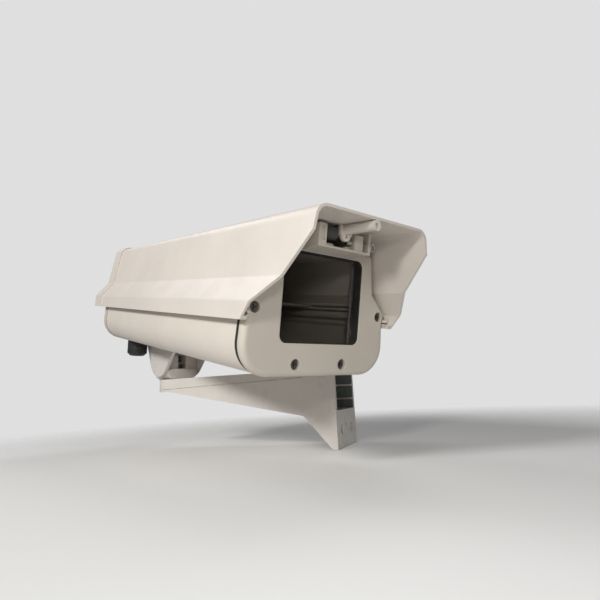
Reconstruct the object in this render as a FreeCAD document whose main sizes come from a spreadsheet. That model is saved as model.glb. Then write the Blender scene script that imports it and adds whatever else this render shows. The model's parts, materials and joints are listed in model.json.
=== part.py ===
# Outdoor camera housing on a wall bracket, in millimetres.
# Row frame: origin in the wall face at the centre of the four wall holes, X across,
# Y from the arm into the wall, Z up. The housing has a frame of its own: X across,
# Y from its window to its rear, Z up from the underside of the front plate. The head
# stands level on the pan bolt, with the housing's X.
import FreeCAD, Part
import os
import Sketcher

os.makedirs("parts", exist_ok=True)
doc = FreeCAD.newDocument("CameraHousing")
sheet = doc.addObject("Spreadsheet::Sheet", "Sizes")

sizes = {
    # front plate and body outline, seen from the front
    "plate_half": 75.0,
    "plate_thick": 7.2,
    "plate_corner": 26.0,
    "plate_edge": 4.5,
    "waist_in": 1.1,
    "rail_deep": 2.8,
    "rail_low": 45.4,
    "rail_tall": 6.0,
    "rail_dip": 1.1,
    "hip_rise": 2.0,
    "hip_tall": 2.9,
    "shoulder_in": 15.7,
    "shoulder_rise": 16.4,
    "crown_in": 4.7,
    "crown_high": 108.6,
    "crown_corner": 5.0,
    # window
    "window_side": 12.1,
    "window_low": 26.5,
    "window_top": 8.2,
    "window_corner": 6.5,
    "window_lap": 3.4,
    "glass_thick": 4.0,
    "window_seal": 1.5,
    "lining": 1.0,
    "lining_play": 0.1,
    "lining_set": 0.9,
    "seal_back": 0.4,
    "retainer_thick": 2.0,
    "retainer_lap": 4.2,
    "retainer_post": 2.6,
    "retainer_post_play": 0.2,
    "tube_play": 0.4,
    "retainer_screw_low": 36.0,
    "retainer_screw_high": 92.0,
    "small_screw": 1.4,
    "small_head": 2.4,
    "small_head_high": 1.8,
    # screws of the front and rear plates
    "low_screw_in": 50.1,
    "low_screw_high": 9.8,
    "side_screw_in": 5.8,
    "side_screw_rise": 1.2,
    "sink": 4.5,
    "sink_deep": 5.0,
    "screw_head": 3.9,
    "screw_head_high": 2.6,
    "screw": 2.0,
    "screw_long": 22.0,
    "screw_play": 0.25,
    "cross_wide": 1.1,
    "cross_long": 4.6,
    "cross_deep": 1.6,
    # extruded body
    "body_inset": 0.8,
    "body_wall": 2.6,
    "body_seal": 5.0,
    "body_past": 67.3,
    "body_corner": 25.2,
    "seal_inset": 0.8,
    "rear_seal": 1.5,
    "boss": 4.0,
    "rib_thick": 2.2,
    "rib_gap": 2.2,
    "rib_rise": 0.7,
    "rib_out": 1.1,
    "rib_long": 8.0,
    "seam_rise": 1.1,
    "tongue": 1.4,
    "tongue_deep": 1.8,
    "tongue_play": 0.15,
    # rear plate
    "rear_thick": 13.0,
    "rear_skin": 5.0,
    "rear_rim": 6.4,
    "rear_rim_low": 19.0,
    "rear_edge": 3.0,
    # camera tray
    "tray_thick": 1.8,
    "tray_front": 92.0,
    "tray_short": 20.5,
    "tray_bite": 2.2,
    "tray_slot": 3.4,
    "tray_slot_half": 70.0,
    "tray_slot_middle": 190.0,
    "camera_screw": 3.1,
    "camera_knob": 9.0,
    "camera_knob_high": 8.0,
    "camera_thread_high": 6.0,
    # sliding cover
    "cover_wall": 2.1,
    "roof_gap": 2.8,
    "roof_rise": 4.6,
    "roof_corner": 10.5,
    "eave_round": 3.0,
    "eave_gap": 6.9,
    "eave_rise": 2.7,
    "skirt_gap": 6.0,
    "skirt_fall": 0.1,
    "skirt_drop": 2.8,
    "lip_bite": 0.6,
    "lip_thick": 2.8,
    "cover_past": 7.1,
    "visor_reach": 54.0,
    "visor_drop": 19.5,
    "visor_low_reach": 3.4,
    "rail_round": 3.2,
    "rail_rise": 1.9,
    "rail_bore": 1.7,
    "rail_play": 0.5,
    "rail_slot": 1.3,
    "rail_front": 3.0,
    "spine_round": 4.2,
    "spine_bore": 1.7,
    "spine_slot": 1.5,
    # rear cap of the cover
    "cap_proud": 1.6,
    "cap_deep": 26.0,
    "cap_wall": 2.6,
    "cap_edge": 2.4,
    "cap_screw": 1.7,
    "cap_screw_head": 3.4,
    "cap_screw_head_high": 2.4,
    "cap_screw_long": 36.0,
    # latch box on the front plate
    "box_half": 28.0,
    "box_reach": 21.5,
    "box_bite": 7.8,
    "box_rise": 1.8,
    "box_floor": 1.6,
    "box_over": 12.0,
    "post_wide": 7.6,
    "post_inset": 1.6,
    "cheek_wide": 2.6,
    "gate_front": 14.0,
    "gate_thick": 4.0,
    "gate_rise": 6.7,
    "gate_slot": 7.2,
    "gate_slot_rise": 8.6,
    "block_in": 11.5,
    "block_out": 21.6,
    "block_front": 20.6,
    "block_rise": 16.4,
    "block_round": 2.6,
    # catch hanging from the cover
    "catch_half": 6.2,
    "catch_round": 4.8,
    "catch_rise": 9.0,
    "catch_thick": 3.0,
    "catch_front": 21.5,
    "catch_play": 0.3,
    "catch_hole": 1.2,
    "catch_hole_rise": 3.7,
    # draw bolt that locks the catch, found drawn back
    "bolt_round": 2.0,
    "bolt_rise": 9.8,
    "bolt_back": 15.8,
    "bolt_gap": 0.4,
    "bolt_travel": 3.8,
    "bolt_play": 0.05,
    "bolt_collar": 3.0,
    "collar_long": 1.4,
    "collar_play": 0.3,
    "nest_start": 14.4,
    "grip_long": 4.0,
    "ring_round": 3.6,
    "ring_wire": 0.7,
    # rubber buffer
    "buffer": 5.7,
    "buffer_in": 7.4,
    "buffer_back": 14.6,
    "buffer_rise": 14.6,
    # cable glands
    "gland_side": 36.0,
    "gland_in": 28.5,
    "gland_hex": 13.2,
    "gland_hex_high": 7.0,
    "gland_thread": 8.0,
    "gland_thread_high": 10.0,
    "gland_cap": 12.4,
    "gland_cap_high": 13.0,
    "gland_cap_slope": 3.4,
    "gland_bore": 5.0,
    "gland_play": 0.2,
    "locknut": 11.7,
    "locknut_high": 4.5,
    "locknut_lift": 0.2,
    "plug": 12.0,
    "plug_high": 4.0,
    # head: cradle under the body
    "pivot_back": 289.2,
    "pivot_low": 19.5,
    "cradle_clear": 1.8,
    "cradle_long_half": 48.0,
    "cradle_thick": 3.6,
    "ear_thick": 3.9,
    "ear_round": 32.3,
    "ear_apex": 62.4,
    "ear_top_half": 48.0,
    "cradle_screw_in": 12.0,
    "cradle_screw_along": 38.0,
    "cradle_screw": 2.5,
    "cradle_screw_head": 4.4,
    "cradle_screw_head_high": 3.0,
    "tilt_bolt": 4.0,
    "tilt_head": 6.5,
    "tilt_head_high": 7.0,
    "tilt_play": 0.05,
    "tilt_end": 1.6,
    "hex_key": 3.0,
    "hex_key_deep": 3.6,
    "small_key": 2.1,
    "small_key_deep": 1.8,
    # head: pan base on the arm
    "base_play": 0.3,
    "base_half": 20.8,
    "base_low": 15.5,
    "base_floor": 28.0,
    "base_set": 2.2,
    "base_shoulder": 44.0,
    "base_slot": 5.3,
    "base_crown": 13.4,
    "base_crown_half": 8.0,
    "base_bend": 4.0,
    "base_round": 9.0,
    "pan_height": 42.0,
    "pan_bolt": 3.0,
    "pan_play": 0.05,
    "pan_head": 5.0,
    "pan_head_high": 6.0,
    "pan_washer": 6.2,
    "pan_washer_high": 1.4,
    "pan_nut": 5.8,
    "pan_nut_high": 5.2,
    "nut_play": 0.2,
    # wall bracket, measured from the pan axis and from the underside of the tip
    "arm_long": 227.7,
    "arm_up": 8.0,
    "tip_round": 20.5,
    "tip_high": 15.2,
    "tip_sink": 8.6,
    "tip_sink_deep": 8.0,
    "arm_bend": 189.0,
    "arm_bend_half": 27.0,
    "arm_lean": 1.6,
    "arm_bend_foot": 30.5,
    "arm_bend_low": 34.3,
    "arm_crease_near": 2.6,
    "arm_crease_far": 7.2,
    "arm_wall": 3.4,
    "wall_plate_half": 36.6,
    "wall_plate_high": 60.3,
    "wall_plate_thick": 5.6,
    "wall_hole_x": 18.5,
    "wall_hole_z": 42.0,
    "wall_hole": 5.0,
    "mouth_half": 31.6,
    "mouth_low": 21.2,
    "mouth_high": 20.0,
    "gusset": 4.2,
    "way_low": -3.6,
    "way_crease": 3.0,
    "way_round": 9.0,
    "way_along": 74.0,
    "web_thick": 1.6,
    "web_deep": 12.0,
    "web_proud": 1.4,
    "web_low": 11.5,
    "web_high": 4.0,
    # pose of the head as found
    "pan_angle": 150.0,
    "tilt_angle": 11.5,
}
# sizes that follow from the ones above
follows = {
    "waist_half": "plate_half - waist_in",
    "rail_floor_half": "plate_half - rail_deep",
    "shoulder_half": "plate_half - shoulder_in",
    "crown_half": "shoulder_half - crown_in",
    "rail_high": "rail_low + rail_tall",
    "hip_low": "rail_high + hip_rise",
    "hip_high": "hip_low + hip_tall",
    "shoulder_high": "hip_high + shoulder_rise",
    "window_half": "crown_half - window_side",
    "window_high": "crown_high - window_top",
    "low_screw_out": "plate_half - low_screw_in",
    "side_screw_out": "rail_floor_half - side_screw_in",
    "side_screw_high": "rail_high + side_screw_rise",
    "body_rear": "pivot_back + body_past",
    "gland_out": "plate_half - gland_side",
    "gland_back": "body_rear - gland_in",
    "cradle_half": "gland_out - gland_hex - cradle_clear",
    "cradle_screw_out": "cradle_half - cradle_screw_in",
    "tray_rear": "body_rear - tray_short",
    "cover_rear": "body_rear + cover_past",
    "rib_low": "hip_high + rib_rise",
    "rib_half": "shoulder_half + rib_out",
    "seam_high": "rib_low + rib_thick + seam_rise",
    "skirt_half": "plate_half + skirt_gap",
    "skirt_high": "hip_high - skirt_fall",
    "skirt_low": "rail_low - skirt_drop",
    "eave_half": "shoulder_half + eave_gap",
    "eave_high": "shoulder_high + eave_rise",
    "roof_half": "crown_half + roof_gap",
    "roof_high": "box_high + roof_rise",
    "rail_out": "rail_floor_half + rail_play + rail_round",
    "rail_middle": "rail_low + rail_rise",
    "box_low": "crown_high - box_bite",
    "box_high": "crown_high + box_over",
    "gate_high": "box_low + gate_rise",
    "gate_slot_high": "box_low + gate_slot_rise",
    "block_high": "box_low + block_rise",
    "catch_low": "box_low + catch_rise",
    "catch_hole_high": "catch_low + catch_hole_rise",
    "bolt_high": "box_low + bolt_rise",
    "buffer_high": "box_low + buffer_rise",
}
for row, (word, value) in enumerate(sizes.items(), 1):
    sheet.set("A%d" % row, word)
    sheet.set("B%d" % row, str(value))
    sheet.setAlias("B%d" % row, word)
doc.recompute()

AXIS_X = FreeCAD.Rotation(FreeCAD.Vector(0, 1, 0), 90)
AXIS_Y = FreeCAD.Rotation(FreeCAD.Vector(1, 0, 0), -90)
AXIS_Z = FreeCAD.Rotation()
FLAT_SIDE = FreeCAD.Rotation(FreeCAD.Vector(0, 0, 1), 30)
PLANE_ROLES = {"XY": "XY_Plane", "XZ": "XZ_Plane", "YZ": "YZ_Plane"}
made = []


def cells(formula):
    # each word of a formula is a cell of the sheet, or follows from cells
    text, word = "", ""
    for mark in str(formula) + " ":
        if mark.isalnum() or mark in "_.":
            word += mark
            continue
        if word in follows:
            word = "(" + cells(follows[word]) + ")"
        elif word[:1].isalpha():
            word = "Sizes." + word
        text += word + mark
        word = ""
    return text.strip()


def size(word):
    if word not in follows:
        return float(sheet.get(word))
    total, sign = 0.0, 1.0
    for part in follows[word].split():
        if part in "+-":
            sign = -1.0 if part == "-" else 1.0
        else:
            total += sign * size(part)
    return total


def bind(item, **fields):
    for field, formula in fields.items():
        item.setExpression(field, cells(formula))
    return item


def move(item, x="0", y="0", z="0", turn=AXIS_Z):
    item.Placement = FreeCAD.Placement(FreeCAD.Vector(), turn)
    for letter, formula in zip("xyz", (x, y, z)):
        item.setExpression("Placement.Base." + letter, cells(formula))
    return item


def rod(radius, length, x="0", y="0", z="0", turn=AXIS_Z):
    item = doc.addObject("Part::Cylinder", "Rod")
    return move(bind(item, Radius=radius, Height=length), x, y, z, turn)


def block(wide, deep, high, x="0", y="0", z="0"):
    item = doc.addObject("Part::Box", "Block")
    return move(bind(item, Length=wide, Width=deep, Height=high), x, y, z)


def nut_bar(radius, length, x="0", y="0", z="0", turn=AXIS_Z):
    item = doc.addObject("Part::Prism", "HexBar")
    item.Polygon = 6
    return move(bind(item, Circumradius=radius, Height=length), x, y, z, turn)


def fuse(*items):
    item = doc.addObject("Part::MultiFuse", "Joined")
    item.Shapes = list(items)
    item.Refine = True
    return item


def cut(base, *tools):
    item = doc.addObject("Part::Cut", "Cut")
    item.Base = base
    item.Tool = tools[0] if len(tools) == 1 else fuse(*tools)
    item.Refine = True
    return item


def group(*items):
    item = doc.addObject("Part::Compound", "Group")
    item.Links = list(items)
    return item


def both(points):
    # right-hand corners, and their mirror images on the left
    left = [("-(%s)" % x, y) for x, y in reversed(points)]
    return list(points) + left


def outline(body, plane, corners, away="0"):
    sketch = body.newObject("Sketcher::SketchObject", "Outline")
    found = [face for face in body.Origin.OriginFeatures if face.Role == PLANE_ROLES[plane]]
    sketch.AttachmentSupport = [(found[0], "")]
    sketch.MapMode = "FlatFace"
    sketch.setExpression("AttachmentOffset.Base.z", cells(away))
    loops = corners if isinstance(corners[0], list) else [corners]
    for loop in loops:
        draw_loop(sketch, loop)
    doc.recompute()
    return sketch


def draw_loop(sketch, loop):
    first = sketch.GeometryCount
    count = len(loop)
    turn = FreeCAD.Rotation(FreeCAD.Vector(0, 0, 1), 360.0 / count)
    spots = [FreeCAD.Vector(10.0 + first, 0, 0)]
    for step in range(count - 1):
        spots.append(turn.multVec(spots[-1]))
    for step in range(count):
        sketch.addGeometry(Part.LineSegment(spots[step], spots[(step + 1) % count]))
    for step in range(count):
        following = first + (step + 1) % count
        sketch.addConstraint(Sketcher.Constraint("Coincident", first + step, 2, following, 1))
    for step, (across, up) in enumerate(loop):
        for kind, formula in (("DistanceX", across), ("DistanceY", up)):
            spot = spots[step].x if kind == "DistanceX" else spots[step].y
            fixed = sketch.addConstraint(Sketcher.Constraint(kind, -1, 1, first + step, 1, spot))
            sketch.setExpression("Constraints[%d]" % fixed, cells(formula))


def pad(body, plane, corners, length, away="0", back=False):
    sketch = outline(body, plane, corners, away)
    item = body.newObject("PartDesign::Pad", "Pad")
    item.Profile = sketch
    item.Reversed = back
    bind(item, Length=length)
    body.Tip = item
    doc.recompute()
    return item


def pocket(body, plane, corners, length, away="0", back=False):
    before = body.Shape.Volume
    sketch = outline(body, plane, corners, away)
    item = body.newObject("PartDesign::Pocket", "Pocket")
    item.Profile = sketch
    item.Reversed = back
    bind(item, Length=length)
    body.Tip = item
    doc.recompute()
    if body.Shape.Volume > before - 0.01:
        raise ValueError("a pocket cut nothing in " + body.Label)
    return item


def rounded(body, radius, wanted):
    last = body.Tip
    names = []
    for number, edge in enumerate(last.Shape.Edges, 1):
        if wanted(edge):
            names.append("Edge%d" % number)
    item = body.newObject("PartDesign::Fillet", "Rounding")
    item.Base = (last, names)
    bind(item, Radius=radius)
    body.Tip = item
    doc.recompute()
    return item


def runs(edge, letter):
    ends = edge.Vertexes
    if len(ends) != 2:
        return False
    step = ends[1].Point - ends[0].Point
    return abs(abs(getattr(step, letter)) - step.Length) < 1e-6


def middle(edge):
    return edge.CenterOfMass


def new_body(name):
    return doc.addObject("PartDesign::Body", name)


def in_row(item, name):
    return finish(item, name, FreeCAD.Placement())


def in_arm(item, name):
    # arm frame: pan axis at the origin, underside of the tip at zero
    return finish(item, name, ARM)


def in_head(item, name):
    return finish(item, name, HEAD)


def in_housing(item, name):
    return finish(item, name, HOUSING)


def finish(item, name, place):
    item.Label = name
    item.Placement = place
    made.append(item)
    return item


def frames():
    arm = FreeCAD.Placement(FreeCAD.Vector(0, -size("arm_long"), size("arm_up")), AXIS_Z)
    pan = FreeCAD.Placement(FreeCAD.Vector(), FreeCAD.Rotation(FreeCAD.Vector(0, 0, 1), size("pan_angle")))
    tilt = FreeCAD.Placement(
        FreeCAD.Vector(0, 0, size("pan_height")),
        FreeCAD.Rotation(FreeCAD.Vector(1, 0, 0), size("tilt_angle")),
    )
    hang = FreeCAD.Placement(FreeCAD.Vector(0, -size("pivot_back"), size("pivot_low")), AXIS_Z)
    head = arm.multiply(pan)
    return arm, head, head.multiply(tilt).multiply(hang)


ARM, HEAD, HOUSING = frames()


# Front plate, window and body

def shell_outline(inset):
    # half outline shared by the plates, the seals and the body
    side = "(plate_half - %s)" % inset
    return [
        (side, inset),
        (side, "plate_corner"),
        ("waist_half - %s" % inset, "rail_low"),
        ("rail_floor_half - %s" % inset, "rail_low"),
        ("rail_floor_half - %s" % inset, "rail_high"),
        (side, "hip_low"),
        (side, "hip_high"),
        ("shoulder_half - %s" % inset, "shoulder_high"),
        ("crown_half - %s" % inset, "crown_high - %s" % inset),
    ]


def plain_outline(inset):
    # the same outline before the grooves for the cover's rails are cut
    return [corner for corner in shell_outline(inset) if not corner[0].startswith("rail_floor_half")]


def rail_grooves(inset, start, long, dip="0"):
    floor = "rail_floor_half - " + inset
    low = "rail_low - " + dip
    high = "rail_high - (%s)" % low
    right = block("plate_half", long, high, floor, start, low)
    left = block("plate_half", long, high, "-plate_half - (%s)" % floor, start, low)
    return [right, left]


def window_outline(grow):
    return both([
        ("window_half + %s" % grow, "window_low - (%s)" % grow),
        ("window_half + %s" % grow, "window_high + %s" % grow),
    ])


def round_feet(body, radius, inset):
    far = size("plate_half") - inset
    rounded(body, radius, lambda edge: runs(edge, "y") and is_at(middle(edge), far, inset))


def is_at(spot, out, high):
    return abs(abs(spot.x) - out) < 0.01 and abs(spot.z - high) < 0.01


def is_crown_corner(edge):
    spot = middle(edge)
    return runs(edge, "y") and spot.z > size("crown_high") - 2


def window_corners(edge):
    spot = middle(edge)
    inside = abs(spot.x) < size("window_half") + 6
    return runs(edge, "y") and inside and size("window_low") - 6 < spot.z < size("window_high") + 6


def screw_places():
    # four screws hold the front plate, and four more the rear plate
    low = ("low_screw_out", "low_screw_high")
    side = ("side_screw_out", "side_screw_high")
    return [(sign + x, z) for x, z in (low, side) for sign in ("", "-")]


def front_plate():
    body = new_body("PlateCasting")
    pad(body, "XZ", both(plain_outline("0")), "plate_thick", back=True)
    round_feet(body, "plate_corner", 0)
    rounded(body, "crown_corner", is_crown_corner)
    rounded(body, "plate_edge", lambda edge: edge.BoundBox.YMax < 0.01)
    pocket(body, "XZ", window_outline("0"), "plate_thick")
    rounded(body, "window_corner", window_corners)
    posts = []
    for x, z in retainer_places():
        posts.append(rod("retainer_post", "window_seal + glass_thick", x, "plate_thick", z, AXIS_Y))
    solid = fuse(body, latch_box_floor(), *(latch_box_walls() + posts))
    tools = []
    for x, z in screw_places():
        tools.append(rod("sink", "sink_deep + 1", x, "-1", z, AXIS_Y))
        tools.append(rod("screw + screw_play", "plate_thick + 1", x, "0", z, AXIS_Y))
    for x, z in retainer_places():
        deep = "plate_thick / 2 + window_seal + glass_thick + 1"
        tools.append(rod("small_screw", deep, x, "plate_thick / 2", z, AXIS_Y))
    tools += latch_box_cuts() + rail_grooves("0", "-1", "plate_thick + 2", "rail_dip")
    in_housing(cut(solid, *tools), "front_plate")


def latch_box_floor():
    body = new_body("BoxFloor")
    top = "box_low + box_rise + box_floor"
    corners = [
        ("0.5", "box_low"),
        ("0.5", top),
        ("-box_reach", top),
        ("-box_reach", "box_low + box_rise"),
        ("-0.5", "box_low"),
    ]
    pad(body, "YZ", corners, "2 * box_half", away="-box_half")
    return body


def latch_box_walls():
    up = "box_high - box_low - box_rise"
    foot = "box_low + box_rise"
    post = block("post_wide", "box_reach + 0.5", up, "-box_half", "-box_reach", foot)
    cheek = block("cheek_wide", "box_reach + 0.5", up, "box_half - cheek_wide", "-box_reach", foot)
    gate_wide = "2 * box_half - post_wide - cheek_wide"
    gate_up = "gate_high - box_low - box_rise"
    gate = block(gate_wide, "gate_thick", gate_up, "post_wide - box_half", "-gate_front", foot)
    guide = new_body("PlungerGuide")
    guide_corners = [
        ("block_in", "-block_front"),
        ("block_out", "-block_front"),
        ("block_out", "gate_thick - gate_front"),
        ("block_in", "gate_thick - gate_front"),
    ]
    pad(guide, "XY", guide_corners, "block_high - box_low - box_rise", away=foot)
    rounded(guide, "block_round", lambda edge: runs(edge, "z") and middle(edge).y < -size("gate_front"))
    return [post, cheek, gate, guide]


def latch_box_cuts():
    slot = rod("gate_slot", "gate_thick + 0.2", "0", "-gate_front - 0.1", "gate_slot_high", AXIS_Y)
    panel = block(
        "post_wide - 2 * post_inset", "post_inset + 1", "box_high - box_low - box_rise - 4 * post_inset",
        "post_inset - box_half", "-box_reach - 1", "box_low + box_rise + 3 * post_inset",
    )
    spot = ("-bolt_back", "bolt_high", AXIS_X)
    bore = rod("bolt_round + bolt_play", "box_half - block_in + 2", "block_in - 1", *spot)
    nest = rod("bolt_collar + collar_play", "block_out - nest_start + 1", "nest_start", *spot)
    return [slot, panel, bore, nest]


def retainer_places():
    out = "window_half + window_lap - seal_back + retainer_post_play + retainer_post"
    heights = ("retainer_screw_low", "retainer_screw_high")
    return [(sign + "(%s)" % out, z) for z in heights for sign in ("", "-")]


def ring_part(name, inner, outer, thick, start):
    body = new_body(name)
    pad(body, "XZ", [outer, inner], thick, away="-(%s)" % start, back=True)
    return body


def retainer_outline():
    # reaches as far as the inside of the body lets it
    wall = "body_inset - body_wall - tube_play"
    return both([
        ("crown_half - " + wall, "window_low - window_lap - retainer_lap"),
        ("crown_half - " + wall, "crown_high - " + wall),
    ])


def window_parts():
    seal = ring_part(
        "SealRing", window_outline("(-lining)"), window_outline("window_lap - seal_back"),
        "window_seal", "plate_thick",
    )
    in_housing(fuse(seal, window_lining()), "window_gasket")
    glass = new_body("Pane")
    start = "plate_thick + window_seal"
    pad(glass, "XZ", window_outline("window_lap - seal_back"), "glass_thick", away="-(%s)" % start, back=True)
    in_housing(glass, "window_glass")
    behind = "plate_thick + window_seal + glass_thick"
    frame = ring_part("HoldingFrame", window_outline("0"), retainer_outline(), "retainer_thick", behind)
    holes = []
    screws = []
    for x, z in retainer_places():
        holes.append(rod("small_screw + 0.1", "retainer_thick + 2", x, behind + " - 1", z, AXIS_Y))
        screws.append(back_screw(x, z, behind + " + retainer_thick"))
    in_housing(cut(frame, *holes), "glass_retainer")
    in_housing(group(*screws), "glass_screws")


def window_lining():
    # the seal's inner lip covers the edge of the opening
    loops = []
    for name, grow in (("LiningForm", "(-lining_play)"), ("LiningHollow", "(-lining)")):
        body = new_body(name)
        deep = "plate_thick - lining_set + 0.5"
        pad(body, "XZ", window_outline(grow), deep, away="-lining_set", back=True)
        rounded(body, "window_corner + " + grow, window_corners)
        loops.append(body)
    return cut(*loops)


def back_screw(x, z, seat):
    # small pan head behind the retainer, its shank towards the window
    head = rod("small_head", "small_head_high", x, seat, z, AXIS_Y)
    deep = "plate_thick / 2 + window_seal + glass_thick + retainer_thick - 0.4"
    shank = rod("small_screw", deep, x, "plate_thick / 2 + 0.4", z, AXIS_Y)
    return fuse(head, shank)


def cross_screw(head, head_high, shank, long, x, seat, z, facing):
    # facing is minus for a head towards the window, plus for one towards the rear
    front = facing == "-"
    head_at = "%s - %s" % (seat, head_high) if front else seat
    shank_at = seat if front else "%s - %s" % (seat, long)
    solid = fuse(rod(head, head_high, x, head_at, z, AXIS_Y), rod(shank, long, x, shank_at, z, AXIS_Y))
    face = "%s - %s - 0.5" % (seat, head_high) if front else "%s + %s - cross_deep" % (seat, head_high)
    cuts = []
    for wide, high in (("cross_long", "cross_wide"), ("cross_wide", "cross_long")):
        left = "%s - %s / 2" % (x, wide)
        foot = "%s - %s / 2" % (z, high)
        cuts.append(block(wide, "cross_deep + 0.5", high, left, face, foot))
    return cut(solid, *cuts)


def plate_screws():
    front = []
    rear = []
    kind = ("screw_head", "screw_head_high", "screw", "screw_long")
    seat = "body_rear + rear_seal + rear_thick - sink_deep"
    for x, z in screw_places():
        front.append(cross_screw(*kind, x, "sink_deep", z, "-"))
        rear.append(cross_screw(*kind, x, seat, z, "+"))
    in_housing(group(*front), "front_plate_screws")
    in_housing(group(*rear), "rear_plate_screws")


def inner_outline():
    # clear space inside the extrusion
    wall = "body_inset + body_wall"
    return [
        ("plate_half - (%s)" % wall, wall),
        ("plate_half - (%s)" % wall, "rail_low - 4"),
        ("rail_floor_half - (%s)" % wall, "rail_low - 1"),
        ("rail_floor_half - (%s)" % wall, "hip_high - 1"),
        ("shoulder_half - (%s) - 0.8" % wall, "shoulder_high - 1.2"),
        ("crown_half - (%s)" % wall, "crown_high - (%s)" % wall),
    ]


def body_seals():
    wall = size("body_inset") + size("body_wall")
    for name, label, thick, start in (
        ("FrontSeal", "front_gasket", "body_seal", "plate_thick"),
        ("RearSeal", "rear_gasket", "rear_seal", "body_rear"),
    ):
        body = new_body(name)
        loops = [both(shell_outline("seal_inset")), both(inner_outline())]
        pad(body, "XZ", loops, thick, away="-(%s)" % start, back=True)
        round_feet(body, "body_corner - body_wall", wall)
        round_feet(body, "body_corner + body_inset - seal_inset", size("seal_inset"))
        in_housing(body, label)


def between(item, low, high, start, long):
    slab = block("4 * plate_half", long, "%s - (%s)" % (high, low), "-2 * plate_half", start, low)
    part = doc.addObject("Part::Common", "Trimmed")
    part.Base = item
    part.Tool = slab
    return part


def tongues(play, start, long):
    high = "tongue_deep + %s + 1" % play
    low = "seam_high - tongue_deep - " + play
    out = "rib_half + rib_long - tongue - " + play
    wide = "tongue + 2 * " + play
    right = block(wide, long, high, out, start, low)
    left = block(wide, long, high, "-(%s) - (%s)" % (out, wide), start, low)
    return [right, left]


def body_extrusions():
    # a trough that holds all the screws, and a lid that lies on its edges
    front = "plate_thick + body_seal"
    long = "body_rear - plate_thick - body_seal"
    tube = new_body("BodyExtrusion")
    pad(tube, "XZ", both(shell_outline("body_inset")), long, away="-(%s)" % front, back=True)
    round_feet(tube, "body_corner", size("body_inset"))
    hollow = new_body("BodyHollow")
    pad(hollow, "XZ", both(inner_outline()), long, away="-(%s)" % front, back=True)
    round_feet(hollow, "body_corner - body_wall", size("body_inset") + size("body_wall"))
    added = []
    for x, z in screw_places():
        added.append(rod("boss", long, x, front, z, AXIS_Y))
    web_high = "low_screw_high - body_inset - 1"
    for sign in ("", "-"):
        spot = "%slow_screw_out - body_wall / 2" % sign
        added.append(block("body_wall", long, web_high, spot, front, "body_inset + 1"))
    for lift in ("0", "rib_thick + rib_gap"):
        for start in ("rib_half", "-rib_half - rib_long"):
            added.append(block("rib_long", long, "rib_thick", start, front, "rib_low + " + lift))
    inside = doc.addObject("Part::Common", "Inside")
    inside.Base = fuse(*added)
    inside.Tool = tube
    whole = fuse(cut(tube, hollow), inside)
    bores = [rod("screw", long, x, front, z, AXIS_Y) for x, z in screw_places()]
    for x in ("-gland_out", "gland_out"):
        bores.append(rod("gland_thread + gland_play", "body_wall + body_inset + 2", x, "gland_back", "-1"))
    for x, y in cradle_places():
        bores.append(rod("cradle_screw", "body_wall + body_inset + 1", x, y, "-0.5"))
    trough = between(whole, "-1", "seam_high", front, long)
    in_housing(cut(trough, *(bores + tongues("tongue_play", front, long))), "lower_body")
    lid = between(whole, "seam_high", "crown_high + 1", front, long)
    in_housing(fuse(lid, *tongues("0", front, long)), "body_lid")


def rear_plate():
    body = new_body("RearCasting")
    start = "body_rear + rear_seal"
    pad(body, "XZ", both(plain_outline("body_inset")), "rear_thick", away="-(%s)" % start, back=True)
    round_feet(body, "body_corner", size("body_inset"))
    end = size("body_rear") + size("rear_seal") + size("rear_thick")
    rounded(body, "rear_edge", lambda edge: edge.BoundBox.YMin > end - 0.01)
    hollow = both([
        ("crown_half - rear_rim", "rear_rim_low"),
        ("crown_half - rear_rim", "crown_high - rear_rim"),
    ])
    pocket(body, "XZ", hollow, "rear_thick - rear_skin", away="-(%s)" % start)
    tools = rail_grooves("body_inset", start + " - 1", "rear_thick + 2")
    for x, z in screw_places():
        tools.append(rod("screw + screw_play", "rear_thick + 2", x, start + " - 1", z, AXIS_Y))
        seat = start + " + rear_thick - sink_deep"
        tools.append(rod("sink", "sink_deep + 1", x, seat, z, AXIS_Y))
    in_housing(cut(body, *tools), "rear_plate")


def camera_tray():
    body = new_body("TraySheet")
    half = "rib_half + tray_bite"
    corners = [
        ("-(%s)" % half, "tray_front"),
        (half, "tray_front"),
        (half, "tray_rear"),
        ("-(%s)" % half, "tray_rear"),
    ]
    slot = [
        ("-tray_slot", "tray_slot_middle - tray_slot_half"),
        ("tray_slot", "tray_slot_middle - tray_slot_half"),
        ("tray_slot", "tray_slot_middle + tray_slot_half"),
        ("-tray_slot", "tray_slot_middle + tray_slot_half"),
    ]
    pad(body, "XY", [corners, slot], "tray_thick", away="rib_low + rib_thick")
    in_housing(body, "camera_tray")
    low = "rib_low + rib_thick"
    knob = rod("camera_knob", "camera_knob_high", "0", "tray_slot_middle", low + " - camera_knob_high")
    thread = rod("camera_screw", "tray_thick + camera_thread_high", "0", "tray_slot_middle", low)
    in_housing(fuse(knob, thread), "camera_screw")


# Sliding cover, its rear cap and the catch

def cover_outer(grow):
    return [
        ("skirt_half + %s" % grow, "skirt_low"),
        ("skirt_half + %s" % grow, "skirt_high + 0.3 * %s" % grow),
        ("eave_half + %s" % grow, "eave_high + 0.3 * %s" % grow),
        ("roof_half + %s" % grow, "roof_high + %s" % grow),
    ]


def cover_inner(wall):
    return [
        ("skirt_half - %s" % wall, "skirt_low + lip_thick"),
        ("skirt_half - %s" % wall, "skirt_high - 0.5 * %s" % wall),
        ("eave_half - 1.15 * %s" % wall, "eave_high - 0.5 * %s" % wall),
        ("roof_half - %s" % wall, "roof_high - %s" % wall),
    ]


def is_roof_corner(edge):
    return runs(edge, "y") and middle(edge).z > size("roof_high") - 8


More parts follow.
